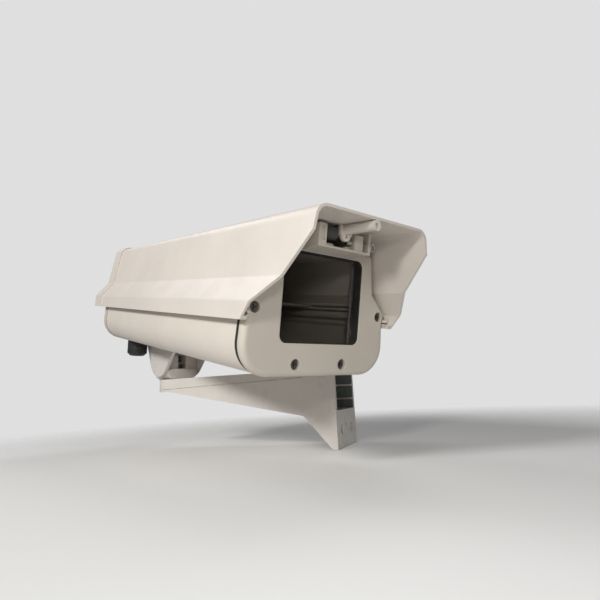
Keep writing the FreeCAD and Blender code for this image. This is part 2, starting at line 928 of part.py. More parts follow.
def cover_shell():
    body = new_body("CoverExtrusion")
    lip = [
        ("rail_out - lip_bite", "skirt_low"),
        ("rail_out - lip_bite", "skirt_low + lip_thick"),
    ]
    loop = both(cover_outer("0")) + list(reversed(both(lip + cover_inner("cover_wall"))))
    long = "visor_reach + cover_rear"
    pad(body, "XZ", loop, long, away="visor_reach", back=True)
    high = size("roof_high")
    rounded(body, "roof_corner", lambda edge: is_roof_corner(edge) and middle(edge).z > high - 0.01)
    inside = (size("roof_half") - size("cover_wall"), high - size("cover_wall"))
    rounded(body, "roof_corner - cover_wall", lambda edge: runs(edge, "y") and is_at(middle(edge), *inside))
    rounded(body, "eave_round", lambda edge: runs(edge, "y") and is_eave(middle(edge)))
    spine_high = "roof_high - cover_wall - spine_round + 0.3"
    tubes = [rod("spine_round", long, "0", "-visor_reach", spine_high, AXIS_Y)]
    bores = [rod("spine_bore", long + " + 2", "0", "-visor_reach - 1", spine_high, AXIS_Y)]
    low = spine_high + " - spine_round - 0.5"
    slot = ("spine_slot", long + " + 2", "spine_round + 0.5")
    bores.append(block(*slot, "-spine_slot / 2", "-visor_reach - 1", low))
    for sign in ("", "-"):
        spot = sign + "rail_out"
        tubes.append(rod("rail_round", "rail_front + cover_rear", spot, "-rail_front", "rail_middle", AXIS_Y))
        bores.append(rod("rail_bore", long + " + 2", spot, "-visor_reach - 1", "rail_middle", AXIS_Y))
        start = "rail_out - rail_round - 0.5" if sign == "" else "-rail_out"
        slot = ("rail_round + 0.5", long + " + 2", "rail_slot")
        bores.append(block(*slot, start, "-visor_reach - 1", "rail_middle - rail_slot / 2"))
    in_housing(cut(fuse(body, *tubes), visor_cut(), *bores), "cover_shell")


def is_eave(spot):
    for x, z in (("eave_half", "eave_high"), ("skirt_half", "skirt_high")):
        if abs(abs(spot.x) - size(x)) < 0.01 and abs(spot.z - size(z)) < 0.01:
            return True
    return False


def visor_cut():
    body = new_body("VisorCut")
    corners = [
        ("-visor_reach", "roof_high - visor_drop"),
        ("-visor_low_reach", "skirt_low"),
        ("-visor_low_reach", "skirt_low - 5"),
        ("-visor_reach - 5", "skirt_low - 5"),
        ("-visor_reach - 5", "roof_high - visor_drop"),
    ]
    pad(body, "YZ", corners, "4 * skirt_half", away="-2 * skirt_half")
    return body


def rear_cap():
    body = new_body("CapCasting")
    pad(body, "XZ", both(cover_outer("cap_proud")), "cap_deep", away="-cover_rear", back=True)
    rounded(body, "roof_corner + cap_proud", is_roof_corner)
    end = size("cover_rear") + size("cap_deep")
    low = size("skirt_low") + 1
    rounded(body, "cap_edge", lambda edge: edge.BoundBox.YMin > end - 0.01 and middle(edge).z > low)
    hollow = new_body("CapHollow")
    inner = cover_inner("(cap_wall - cap_proud)")
    floor = [("skirt_half - (cap_wall - cap_proud)", "skirt_low - 1")]
    pad(hollow, "XZ", both(floor + inner[1:]), "cap_deep - cap_wall + 1", away="1 - cover_rear", back=True)
    rounded(hollow, "roof_corner + cap_proud - cap_wall", is_roof_corner)
    deep = "cap_deep - 0.5"
    bosses = []
    bores = []
    for x, z in port_places():
        bosses.append(rod("rail_round", deep, x, "cover_rear", z, AXIS_Y))
        bores.append(rod("cap_screw + 0.2", "cap_deep + 2", x, "cover_rear - 1", z, AXIS_Y))
    in_housing(cut(fuse(cut(body, hollow), *bosses), *bores), "rear_cap")
    screws = []
    for x, z in port_places():
        kind = ("cap_screw_head", "cap_screw_head_high", "cap_screw", "cap_screw_long")
        screws.append(cross_screw(*kind, x, "cover_rear + cap_deep", z, "+"))
    in_housing(group(*screws), "cap_screws")


def port_places():
    spine = ("0", "roof_high - cover_wall - spine_round + 0.3")
    return [spine, ("rail_out", "rail_middle"), ("-rail_out", "rail_middle")]


def cover_catch():
    # saddle round the spine with a thin lobe in front
    top = "roof_high - cover_wall - catch_play"
    spine_high = "roof_high - cover_wall - spine_round + 0.3"
    middle_high = "catch_low + catch_round"
    lobe = rod("catch_round", "catch_thick", "0", "-catch_front", middle_high, AXIS_Y)
    high = top + " - catch_low - catch_round"
    web = block("2 * catch_half", "catch_thick", high, "-catch_half", "-catch_front", middle_high)
    groove = rod("spine_round", "catch_thick + 2", "0", "-catch_front - 1", spine_high, AXIS_Y)
    hole = rod("catch_hole", "catch_thick + 2", "0", "-catch_front - 1", "catch_hole_high", AXIS_Y)
    in_housing(cut(fuse(lobe, web), groove, hole), "cover_catch")


# Draw bolt and buffer in the latch box

def latch_bolt():
    spot = ("-bolt_back", "bolt_high", AXIS_X)
    tip = "catch_round + bolt_gap"
    ring_start = "box_half + bolt_travel + collar_play"
    pin = rod("bolt_round", "%s + 2 * ring_wire - (%s)" % (ring_start, tip), tip, *spot)
    collar_at = "box_half - cheek_wide - collar_play - collar_long"
    collar = rod("bolt_collar", "collar_long", collar_at, *spot)
    ring = doc.addObject("Part::Torus", "PullRing")
    bind(ring, Radius1="ring_round - ring_wire", Radius2="ring_wire")
    move(ring, ring_start + " + ring_round", "-bolt_back", "bolt_high", AXIS_Y)
    in_housing(fuse(pin, collar, ring), "latch_bolt")
    sleeve = rod("bolt_collar + collar_play - bolt_play", "grip_long", "nest_start", *spot)
    bore = rod("bolt_round + bolt_play", "grip_long + 2", "nest_start - 1", *spot)
    in_housing(cut(sleeve, bore), "bolt_grip")


def cover_buffer():
    long = "box_half - post_wide - buffer_in"
    solid = rod("buffer", long, "post_wide - box_half", "-buffer_back", "buffer_high", AXIS_X)
    in_housing(group(solid), "cover_buffer")


# Glands under the body

def cable_gland():
    spot = ("-gland_out", "gland_back")
    nut = nut_bar("gland_hex", "gland_hex_high", *spot, "body_inset - gland_hex_high")
    neck = rod("gland_thread", "gland_thread_high", *spot, "body_inset")
    tail = rod("gland_thread", "2", *spot, "body_inset - gland_hex_high - 2")
    long = "gland_thread_high + gland_hex_high + 4"
    bore = rod("gland_bore", long, *spot, "body_inset - gland_hex_high - 3")
    in_housing(cut(fuse(nut, neck, tail), bore), "cable_gland")
    cap = new_body("GlandNut")
    low = "body_inset - gland_hex_high - gland_cap_high"
    top = "body_inset - gland_hex_high"
    corners = [
        ("gland_bore", low),
        ("gland_cap - gland_cap_slope", low),
        ("gland_cap", low + " + gland_cap_slope"),
        ("gland_cap", top),
        ("gland_thread", top),
        ("gland_thread", top + " - 2"),
        ("gland_bore", top + " - 2"),
    ]
    sketch = outline(cap, "XZ", corners)
    turned = cap.newObject("PartDesign::Revolution", "Turned")
    turned.Profile = sketch
    turned.ReferenceAxis = (sketch, ["V_Axis"])
    turned.Angle = 360
    cap.Tip = turned
    doc.recompute()
    move(cap, "-gland_out", "gland_back", "0")
    in_housing(group(cap), "gland_cap_nut")
    locks = []
    for x in ("-gland_out", "gland_out"):
        seat = "body_inset + body_wall + locknut_lift"
        ring = nut_bar("locknut", "locknut_high", x, "gland_back", seat, FLAT_SIDE)
        hole = rod("gland_thread", "locknut_high + 2", x, "gland_back", "body_inset + body_wall - 1")
        locks.append(cut(ring, hole))
    in_housing(group(*locks), "gland_locknuts")
    spot = ("gland_out", "gland_back")
    disc = rod("plug", "plug_high", *spot, "body_inset - plug_high")
    stem = rod("gland_thread", "gland_thread_high", *spot, "body_inset")
    in_housing(fuse(disc, stem), "blanking_plug")


# Head: cradle, pan base and bolts

def cradle_places():
    places = []
    for x in ("cradle_screw_out", "-cradle_screw_out"):
        for sign in ("+", "-"):
            places.append((x, "pivot_back %s cradle_screw_along" % sign))
    return places


def cradle():
    sheet_body = new_body("CradleTop")
    corners = [
        ("-cradle_half", "pivot_back - cradle_long_half"),
        ("cradle_half", "pivot_back - cradle_long_half"),
        ("cradle_half", "pivot_back + cradle_long_half"),
        ("-cradle_half", "pivot_back + cradle_long_half"),
    ]
    pad(sheet_body, "XY", corners, "cradle_thick", away="body_inset - cradle_thick")
    rounded(sheet_body, "ear_thick", lambda edge: runs(edge, "z"))
    ears = []
    top = "body_inset - cradle_thick / 2"
    for start in ("-cradle_half", "cradle_half - ear_thick"):
        ear = new_body("Ear")
        ear_corners = [
            ("pivot_back - ear_top_half", top),
            ("pivot_back", "-ear_apex"),
            ("pivot_back + ear_top_half", top),
        ]
        pad(ear, "YZ", ear_corners, "ear_thick", away=start)
        rounded(ear, "ear_round", lambda edge: runs(edge, "x") and middle(edge).z < -size("pivot_low"))
        ears.append(ear)
    spot = ("pivot_back", "-pivot_low", AXIS_X)
    bore = rod("tilt_bolt + tilt_play", "2 * cradle_half - tilt_end + 1", "tilt_end - cradle_half", *spot)
    holes = [rod("cradle_screw + 0.2", "cradle_thick + 2", x, y, "body_inset - cradle_thick - 1")
             for x, y in cradle_places()]
    in_housing(cut(fuse(sheet_body, *ears), bore, *holes), "cradle")
    screws = []
    for x, y in cradle_places():
        seat = "body_inset - cradle_thick"
        low = seat + " - cradle_screw_head_high"
        head = rod("cradle_screw_head", "cradle_screw_head_high", x, y, low)
        shank = rod("cradle_screw", "cradle_thick + body_wall + 1.5", x, y, seat)
        key = nut_bar("small_key", "small_key_deep + 1", x, y, low + " - 1")
        screws.append(cut(fuse(head, shank), key))
    in_housing(group(*screws), "cradle_screws")
    head = rod("tilt_head", "tilt_head_high", "cradle_half", *spot)
    shank = rod("tilt_bolt", "2 * cradle_half - tilt_end - 0.2", "tilt_end + 0.2 - cradle_half", *spot)
    key = nut_bar("hex_key", "hex_key_deep + 1", "cradle_half + tilt_head_high - hex_key_deep", *spot)
    in_housing(cut(fuse(head, shank), key), "tilt_bolt")


def pan_base():
    half = "(cradle_half - ear_thick - base_play)"
    foot = new_body("BaseFoot")
    corners = [
        ("-" + half, "-base_half"),
        (half, "-base_half"),
        (half, "base_half"),
        ("-" + half, "base_half"),
    ]
    pad(foot, "XY", corners, "base_floor - base_low", away="base_low")
    low = size("base_low") + 0.01
    rounded(foot, "base_round", lambda edge: runs(edge, "y") and middle(edge).z < low)
    cheeks = new_body("BaseCheeks")
    side = both([
        ("base_half - base_set", "base_floor - 1"),
        ("base_half - base_set", "base_shoulder"),
        ("base_crown_half", "pan_height + base_crown"),
    ])
    pad(cheeks, "YZ", side, "2 * " + half, away="-" + half)
    high = size("base_shoulder") - 0.01
    rounded(cheeks, "base_bend", lambda edge: runs(edge, "x") and middle(edge).z > high)
    slot = block("2 * base_slot", "2 * base_half + 2", "60", "-base_slot", "-base_half - 1", "base_floor")
    tilt = rod("tilt_bolt + tilt_play", "2 * cradle_half", "-cradle_half", "0", "pan_height", AXIS_X)
    pan = rod("pan_bolt + pan_play", "base_floor", "0", "0", "1")
    in_head(cut(fuse(foot, cheeks), slot, tilt, pan), "pan_base")
    floor = "base_floor"
    washer = cut(
        rod("pan_head", "pan_washer_high", "0", "0", floor),
        rod("pan_bolt + 0.1", "pan_washer_high + 2", "0", "0", floor + " - 1"),
    )
    low_washer = cut(
        rod("pan_washer", "pan_washer_high", "0", "0", "tip_sink_deep - pan_washer_high"),
        rod("pan_bolt + 0.1", "pan_washer_high + 2", "0", "0", "tip_sink_deep - pan_washer_high - 1"),
    )
    in_head(group(washer, low_washer), "pan_washers")
    seat = "base_floor + pan_washer_high"
    head = rod("pan_head", "pan_head_high", "0", "0", seat)
    shank = rod("pan_bolt", seat + " - nut_play", "0", "0", "nut_play")
    in_head(fuse(head, shank), "pan_bolt")
    low = "tip_sink_deep - pan_washer_high - pan_nut_high"
    nut = nut_bar("pan_nut", "pan_nut_high", "0", "0", low)
    hole = rod("pan_bolt", "pan_nut_high + 2", "0", "0", low + " - 1")
    in_head(cut(nut, hole), "pan_nut")


# Wall bracket

def loft(body, stations):
    sketches = [outline(body, "XZ", corners, "-(%s)" % along) for along, corners in stations]
    item = body.newObject("PartDesign::AdditiveLoft", "Loft")
    item.Profile = sketches[0]
    item.Sections = sketches[1:]
    item.Ruled = True
    body.Tip = item
    doc.recompute()
    return item


def arm_bracket():
    low = "(-wall_plate_high - arm_up)"
    high = "(wall_plate_high - arm_up)"
    near = "arm_long - wall_plate_thick"
    outer = new_body("ArmForm")
    end = "wall_plate_half"
    loft(outer, [
        ("0", both([("tip_round", "0"), ("tip_round", "arm_crease_near"), ("tip_round", "tip_high")])),
        ("arm_bend", both([
            ("arm_bend_foot", "-arm_bend_low"),
            ("arm_bend_half + 0.4", "arm_crease_far"),
            ("arm_bend_half - arm_lean", "tip_high"),
        ])),
        (near, both([(end, low), (end, "arm_crease_far"), (end, high)])),
    ])
    slab = new_body("WallPlate")
    pad(slab, "XZ", both([(end, low), (end, high)]), "wall_plate_thick", away="-(%s)" % near, back=True)
    tip = rod("tip_round", "tip_high")
    hollow = new_body("CableWay")
    narrow = "tip_round - arm_wall + 1"
    roof = "tip_high - arm_wall"
    loft(hollow, [
        ("2 * tip_round", both([(narrow, "way_low"), (narrow, "way_crease"), (narrow, roof)])),
        ("arm_bend", both([
            ("arm_bend_foot - arm_wall", "arm_wall - arm_bend_low"),
            ("arm_bend_half - arm_wall + 0.4", "arm_crease_far"),
            ("arm_bend_half - arm_lean - arm_wall", roof),
        ])),
        ("arm_long + 1", both([
            ("mouth_half", "-mouth_low - arm_up"),
            ("mouth_half", "0"),
            ("mouth_half", "mouth_high - arm_up"),
        ])),
    ])
    webs = []
    for sign in ("", "-"):
        for height in ("web_high - arm_up", "-web_low - arm_up"):
            start_x = "mouth_half - web_proud - 1.6" if sign == "" else "-mouth_half - 2"
            start_y = "arm_long - web_deep - 1.5"
            webs.append(block("web_proud + 3.6", "web_deep", "web_thick", start_x, start_y, height))
    tools = [gusset_cut("lower"), gusset_cut("upper")]
    for x in ("wall_hole_x", "-wall_hole_x"):
        for z in ("wall_hole_z - arm_up", "-wall_hole_z - arm_up"):
            tools.append(rod("wall_hole", "wall_plate_thick + 2", x, near + " - 1", z, AXIS_Y))
    tools.append(rod("pan_bolt + pan_play", "tip_high + 2", "0", "0", "-1"))
    tools.append(rod("tip_sink", "tip_sink_deep + 1", "0", "0", "-1"))
    tools.append(rod("way_round", "arm_wall + 3", "0", "way_along", "tip_high - arm_wall - 2"))
    shell = cut(fuse(outer, slab, tip), hollow, *tools)
    in_arm(fuse(shell, *webs), "arm_bracket")


def gusset_cut(which):
    # leaves a thin wall on each side, which widens with the arm
    body = new_body("GussetCut")
    if which == "lower":
        bend, floor, far = "arm_bend_foot", "-arm_bend_low - arm_wall", "-90"
    else:
        bend, floor, far = "(arm_bend_half - arm_lean)", "tip_high + 3", "90"
    stations = []
    for along, half in (("arm_bend + 2", bend), ("arm_long - wall_plate_thick", "wall_plate_half")):
        out = half + " - gusset"
        stations.append((along, both([(out, floor), (out, far)])))
    loft(body, stations)
    return body


front_plate()
window_parts()
plate_screws()
body_seals()
body_extrusions()
rear_plate()
camera_tray()
cover_shell()
rear_cap()
cover_catch()
latch_bolt()
cover_buffer()
cable_gland()
cradle()
pan_base()
arm_bracket()
doc.recompute()

failed = [item.Name for item in doc.Objects if "Invalid" in item.State or "Error" in item.State]
if failed:
    raise ValueError("these objects failed: " + ", ".join(failed))
for item in made:
    if item.Shape.isNull() or not item.Shape.isValid():
        raise ValueError(item.Label + " has no valid shape")
    item.Shape.exportStep(os.path.join("parts", item.Label + ".step"))
    print(item.Label, len(item.Shape.Solids), round(item.Shape.Volume / 1000.0, 2), "cm3")
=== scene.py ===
# Finishes, light and camera for the outdoor camera housing on its wall arm.
# Metres, in the frame of the wall plate: X across, Y into the wall, Z up.
import json

import bmesh
import bpy
from mathutils import Matrix, Vector

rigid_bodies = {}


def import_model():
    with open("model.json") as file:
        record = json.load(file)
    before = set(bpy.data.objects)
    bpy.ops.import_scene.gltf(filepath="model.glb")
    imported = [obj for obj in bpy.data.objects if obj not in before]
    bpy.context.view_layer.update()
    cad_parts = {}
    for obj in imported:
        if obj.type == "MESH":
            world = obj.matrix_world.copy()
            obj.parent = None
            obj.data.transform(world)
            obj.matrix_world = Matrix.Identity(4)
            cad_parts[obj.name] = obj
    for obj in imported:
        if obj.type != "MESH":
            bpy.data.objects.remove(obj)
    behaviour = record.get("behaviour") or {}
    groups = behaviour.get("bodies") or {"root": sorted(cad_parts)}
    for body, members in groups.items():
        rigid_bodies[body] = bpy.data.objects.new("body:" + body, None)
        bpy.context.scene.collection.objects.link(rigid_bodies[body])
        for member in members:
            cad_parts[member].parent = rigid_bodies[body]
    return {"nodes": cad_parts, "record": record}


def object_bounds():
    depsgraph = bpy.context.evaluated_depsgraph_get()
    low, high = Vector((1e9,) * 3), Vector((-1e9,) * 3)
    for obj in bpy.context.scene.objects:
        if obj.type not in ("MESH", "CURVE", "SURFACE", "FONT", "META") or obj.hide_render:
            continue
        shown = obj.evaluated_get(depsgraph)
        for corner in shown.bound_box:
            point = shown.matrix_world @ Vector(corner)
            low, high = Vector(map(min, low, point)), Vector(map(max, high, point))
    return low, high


for leftover in list(bpy.data.objects):
    bpy.data.objects.remove(leftover)
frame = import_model()
cadNodes = frame["nodes"]
cadBox = [list(corner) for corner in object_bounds()]
print("frame loaded with", len(cadNodes), "nodes")


# Small helpers for node trees

mixPlugs = {"RGBA": (6, 7, 2), "VECTOR": (4, 5, 1)}  # first input, second input and output of a Mix node


def feed(tree, plug, value):
    # links a socket, and sets anything else as the plug's own value
    if isinstance(value, bpy.types.NodeSocket):
        tree.links.new(value, plug)
    else:
        plug.default_value = value


def addNode(tree, kind, inputs=None, **settings):
    node = tree.nodes.new(kind)
    for name, value in settings.items():
        setattr(node, name, value)
    for name, value in (inputs or {}).items():
        feed(tree, node.inputs[name], value)
    return node


def objectPlace(tree):
    return tree.nodes.new("ShaderNodeTexCoord").outputs["Object"]


def faceNormal(tree, kind="Normal"):
    return tree.nodes.new("ShaderNodeNewGeometry").outputs[kind]


def splitUp(tree, vector):
    return addNode(tree, "ShaderNodeSeparateXYZ", {"Vector": vector}).outputs


def noise(tree, place, scale, detail=2.0, rough=0.5, warp=0.0):
    values = {"Vector": place, "Scale": scale, "Detail": detail, "Roughness": rough, "Distortion": warp}
    return addNode(tree, "ShaderNodeTexNoise", values).outputs["Fac"]


def spread(tree, value, low, high, toLow=0.0, toHigh=1.0):
    # stretches a value between two limits, smoothly
    plugs = {"Value": value, "From Min": low, "From Max": high, "To Min": toLow, "To Max": toHigh}
    return addNode(tree, "ShaderNodeMapRange", plugs, interpolation_type="SMOOTHSTEP").outputs["Result"]


def patches(tree, place, look):
    # noise that is stretched between the limits in its look
    return spread(tree, noise(tree, place, *look["noise"]), *look["range"])


def calc(tree, how, first, second=0.5, third=0.5):
    return addNode(tree, "ShaderNodeMath", {0: first, 1: second, 2: third}, operation=how).outputs[0]


def product(tree, *parts):
    # multiplies any number of masks
    result = parts[0]
    for part in parts[1:]:
        result = calc(tree, "MULTIPLY", result, part)
    return result


def dot(tree, first, second):
    node = addNode(tree, "ShaderNodeVectorMath", {0: first, 1: second}, operation="DOT_PRODUCT")
    return node.outputs["Value"]


def mix(tree, amount, first, second, kind="RGBA", how="MIX"):
    firstPlug, secondPlug, result = mixPlugs[kind]
    values = {0: amount, firstPlug: first, secondPlug: second}
    return addNode(tree, "ShaderNodeMix", values, data_type=kind, blend_type=how).outputs[result]


def stretched(tree, place, scale, turn=(0, 0, 0)):
    values = {"Vector": place, "Scale": scale, "Rotation": turn}
    return addNode(tree, "ShaderNodeMapping", values).outputs["Vector"]


def addBump(tree, surface, strength, depth, height, normal):
    values = {"Strength": strength, "Distance": depth, "Height": height, "Normal": normal}
    tree.links.new(addNode(tree, "ShaderNodeBump", values).outputs["Normal"], surface.inputs["Normal"])


def newGroup(name, inputs, outputs):
    tree = bpy.data.node_groups.new(name, "ShaderNodeTree")
    for label, kind, value in inputs:
        socket = tree.interface.new_socket(label, in_out="INPUT", socket_type=kind)
        socket.default_value = value
    for label, kind in outputs:
        tree.interface.new_socket(label, in_out="OUTPUT", socket_type=kind)
    return tree, tree.nodes.new("NodeGroupInput").outputs, tree.nodes.new("NodeGroupOutput").inputs


def useGroup(tree, group, values):
    node = tree.nodes.new("ShaderNodeGroup")
    node.node_tree = group
    for name, value in values.items():
        node.inputs[name].default_value = value
    return node.outputs


def newMaterial(name, plain):
    material = bpy.data.materials.new(name)
    material.use_nodes = True
    tree = material.node_tree
    surface = tree.nodes["Principled BSDF"]
    for label, value in plain.items():
        surface.inputs[label].default_value = value
    return material, tree, surface


# Effects shared by the finishes

softEdgeLook = {
    "radius": 0.0005, "samples": 6,  # each finish gives its own radius
    "bend": (0.985, 0.86),  # cosines between the rounded and the flat normal where an edge shows
}


def makeSoftEdge():
    # rounds the corners in the light and marks where they are
    tree, given, wanted = newGroup(
        "softEdge",
        [("Radius", "NodeSocketFloat", softEdgeLook["radius"])],
        [("Normal", "NodeSocketVector"), ("Edge", "NodeSocketFloat")],
    )
    bevel = addNode(tree, "ShaderNodeBevel", {"Radius": given["Radius"]}, samples=softEdgeLook["samples"])
    rounded = bevel.outputs["Normal"]
    tree.links.new(rounded, wanted["Normal"])
    alike = dot(tree, rounded, faceNormal(tree))
    tree.links.new(spread(tree, alike, *softEdgeLook["bend"]), wanted["Edge"])
    return tree


dustLook = {
    "amount": 0.3, "patchSize": 40.0,  # each finish gives its own
    "facing": (-0.1, 0.95, 0.25, 1.0),  # thin on what faces down, full on what faces up
    "patchNoise": (6, 0.62, 0.3), "patchRange": (0.36, 0.72), "between": 0.25,
    "speck": {"noise": (1500, 1), "range": (0.62, 0.72)}, "speckShare": 0.8,
}


def makeDust():
    # lies on what faces up, thicker in patches
    tree, given, wanted = newGroup(
        "dust",
        [("Amount", "NodeSocketFloat", dustLook["amount"]),
         ("Patch Size", "NodeSocketFloat", dustLook["patchSize"])],
        [("Mask", "NodeSocketFloat")],
    )
    place = objectPlace(tree)
    facing = spread(tree, splitUp(tree, faceNormal(tree))["Z"], *dustLook["facing"])
    cloud = noise(tree, place, given["Patch Size"], *dustLook["patchNoise"])
    patch = spread(tree, cloud, *dustLook["patchRange"])
    between = dustLook["between"]
    layer = calc(tree, "MULTIPLY_ADD", patch, 1.0 - between, between)
    speck = product(tree, patches(tree, place, dustLook["speck"]), dustLook["speckShare"])
    both = calc(tree, "MAXIMUM", layer, speck)
    tree.links.new(product(tree, both, facing, given["Amount"]), wanted["Mask"])
    return tree


scuffLook = {
    "amount": 0.3, "turn": (0, 0, 0),  # each finish gives its own
    "lineStretch": (30, 900, 900), "line": {"noise": (1.0, 2, 0.5, 0.2), "range": (0.70, 0.76)},
    "where": {"noise": (22, 3), "range": (0.5, 0.68)},
    "rub": {"noise": (160, 5, 0.7, 0.6), "range": (0.68, 0.78)}, "rubShare": 0.5,
}


def makeScuffs():
    # short fine scratches that run mostly one way, and a few wider rubs
    tree, given, wanted = newGroup(
        "scuffs",
        [("Amount", "NodeSocketFloat", scuffLook["amount"]),
         ("Turn", "NodeSocketVector", scuffLook["turn"])],
        [("Mask", "NodeSocketFloat")],
    )
    place = objectPlace(tree)
    turned = stretched(tree, place, scuffLook["lineStretch"], given["Turn"])
    where = patches(tree, place, scuffLook["where"])
    lines = product(tree, patches(tree, turned, scuffLook["line"]), where)
    rubs = product(tree, patches(tree, place, scuffLook["rub"]), where, scuffLook["rubShare"])
    tree.links.new(product(tree, calc(tree, "MAXIMUM", lines, rubs), given["Amount"]), wanted["Mask"])
    return tree


softEdge = makeSoftEdge()
dust = makeDust()
scuffs = makeScuffs()
print("shared effects made")


# Painted shade on the castings: inside the arm's mouth, along the arm's crease (with dirt) and on the body's
# inner walls; and the arm's crisp crease

# painted shade: the hollow inside the arm's open end is coloured dark, where shade falls in it
armMouthShade = {
    "low": (-0.0318, -0.040, -0.0214), "high": (0.0318, 0.002, 0.0202), "soft": 0.0006,
    "outward": (0.006, 0.003),  # X times the normal's X, above which a face is on the outside
    "webLevels": (0.0048, -0.0107), "webReach": (0.0009, 0.0011),  # the webs are left out of the painted shade
    "colour": (0.130, 0.148, 0.138, 1),
}


def mouthShadeMask(tree, place):
    # marks where the painted shade goes: inside the arm's mouth, not its outer sides or the webs in it
    spot = splitUp(tree, place)
    soft = armMouthShade["soft"]
    masks = []
    for axis, low, high in zip("XYZ", armMouthShade["low"], armMouthShade["high"]):
        middle, half = (low + high) / 2, (high - low) / 2
        away = calc(tree, "ABSOLUTE", calc(tree, "SUBTRACT", spot[axis], middle))
        masks.append(spread(tree, away, half + soft, half - soft))
    outward = product(tree, spot["X"], splitUp(tree, faceNormal(tree, "True Normal"))["X"])
    masks.append(spread(tree, outward, *armMouthShade["outward"]))
    for level in armMouthShade["webLevels"]:
        away = calc(tree, "ABSOLUTE", calc(tree, "SUBTRACT", spot["Z"], level))
        masks.append(spread(tree, away, *armMouthShade["webReach"]))
    return product(tree, *masks)


# a dark line along the arm's crease: partly dirt, partly painted shade in the fold
armCrease = {
    "start": (-0.2277, 0.0106), "end": (-0.0387, 0.0152),  # Y and Z of the crease on the arm's sides
    "reach": (0.0008, 0.0002), "fade": 0.002,  # how far from it the dark line ends and is full
    "broken": {"noise": (90, 4), "range": (0.30, 0.55, 0.3, 0.75)},
    "side": (0.90, 0.93),  # the normal's X on the sides
    "colour": (0.30, 0.24, 0.18, 1),
}


def creaseDirtAndShadeMask(tree, place):
    # marks a thin, broken dark line along the crease: dirt in the fold, with painted shade of the fold
    spot = splitUp(tree, place)
    (startY, startZ), (endY, endZ) = armCrease["start"], armCrease["end"]
    slope = (endZ - startZ) / (endY - startY)
    level = calc(tree, "MULTIPLY_ADD", spot["Y"], slope, startZ - slope * startY)
    away = calc(tree, "ABSOLUTE", calc(tree, "SUBTRACT", spot["Z"], level))
    thin = spread(tree, away, *armCrease["reach"])
    inRange = spread(tree, spot["Y"], endY, endY - armCrease["fade"])
    return product(tree, thin, inRange, patches(tree, place, armCrease["broken"]))


def creasedNormal(tree, smooth):
    # the arm's sides keep the crisp crease between their two slopes
    plain = faceNormal(tree, "True Normal")
    side = spread(tree, calc(tree, "ABSOLUTE", splitUp(tree, plain)["X"]), *armCrease["side"])
    return mix(tree, side, smooth, plain, "VECTOR")


# painted shade: the body's inner walls are coloured darker, standing in for the shade inside the closed
# hollow
bodyHollowShade = {
    "middle": (0.0074, -0.2148, 0.123),  # a point on the body's middle line
    "depth": (-0.010, -0.014),  # how far a wall has to face it
    "colour": (0.44, 0.395, 0.345, 1),
}


def hollowShadeMask(tree, place):
    # marks the walls that face the middle line of the body, which get the painted shade
    away = addNode(tree, "ShaderNodeVectorMath", {0: place, 1: bodyHollowShade["middle"]}, operation="SUBTRACT")
    outward = dot(tree, away.outputs["Vector"], faceNormal(tree, "True Normal"))
    return spread(tree, outward, *bodyHollowShade["depth"])


# Finishes

paintLook = {
    "specular": 0.45, "patchSize": 34.0,
    "wideNoise": (11, 5, 0.6, 0.4), "mottleFrom": 0.3, "mottleTo": 0.7,
    "wornAndHighlit": 1.32, "scuffColour": (0.30, 0.28, 0.25, 1),  # an edge is lighter by this factor: worn paint, and on the front plate mostly a painted highlight along edges and hole rims
    "roughSpan": 0.14, "dustRough": 0.5,
    "peelNoise": (620, 3, 0.55), "scuffDepth": 0.6, "bump": 0.55,
}
paints = {
    "cover_paint": {
        "colour": (0.790, 0.730, 0.662, 1), "mottle": 0.07, "gloss": 0.38, "grain": 0.00006,
        "dustColour": (0.50, 0.45, 0.39, 1), "dust": 0.26, "scuffs": 0.35, "turn": (0, 0, 0.52),
        "edge": 0.0006, "edgeWearAndHighlight": 0.12,
    },
    "body_paint": {
        "colour": (0.745, 0.688, 0.618, 1), "mottle": 0.06, "gloss": 0.42, "grain": 0.00006,
        "dustColour": (0.48, 0.43, 0.37, 1), "dust": 0.26, "scuffs": 0.30, "turn": (0, 0, 0.52),
        "edge": 0.0005, "edgeWearAndHighlight": 0.10, "casting": "body",
    },
    # the front plate's edges and hole rims are lightened strongly: mostly a painted highlight, some wear
    "plate_paint": {
        "colour": (0.640, 0.585, 0.510, 1), "mottle": 0.08, "gloss": 0.40, "grain": 0.00008,
        "dustColour": (0.46, 0.41, 0.35, 1), "dust": 0.28, "scuffs": 0.42, "turn": (0.4, 0, 1.2),
        "edge": 0.0010, "edgeWearAndHighlight": 0.85,
    },
    "bracket_paint": {
        "colour": (0.665, 0.628, 0.588, 1), "mottle": 0.05, "gloss": 0.26, "grain": 0.00003,
        "dustColour": (0.42, 0.37, 0.32, 1), "dust": 0.22, "scuffs": 0.55, "turn": (0, 0.2, 1.57),
        "edge": 0.0008, "edgeWearAndHighlight": 0.20, "casting": "arm",
    },
}


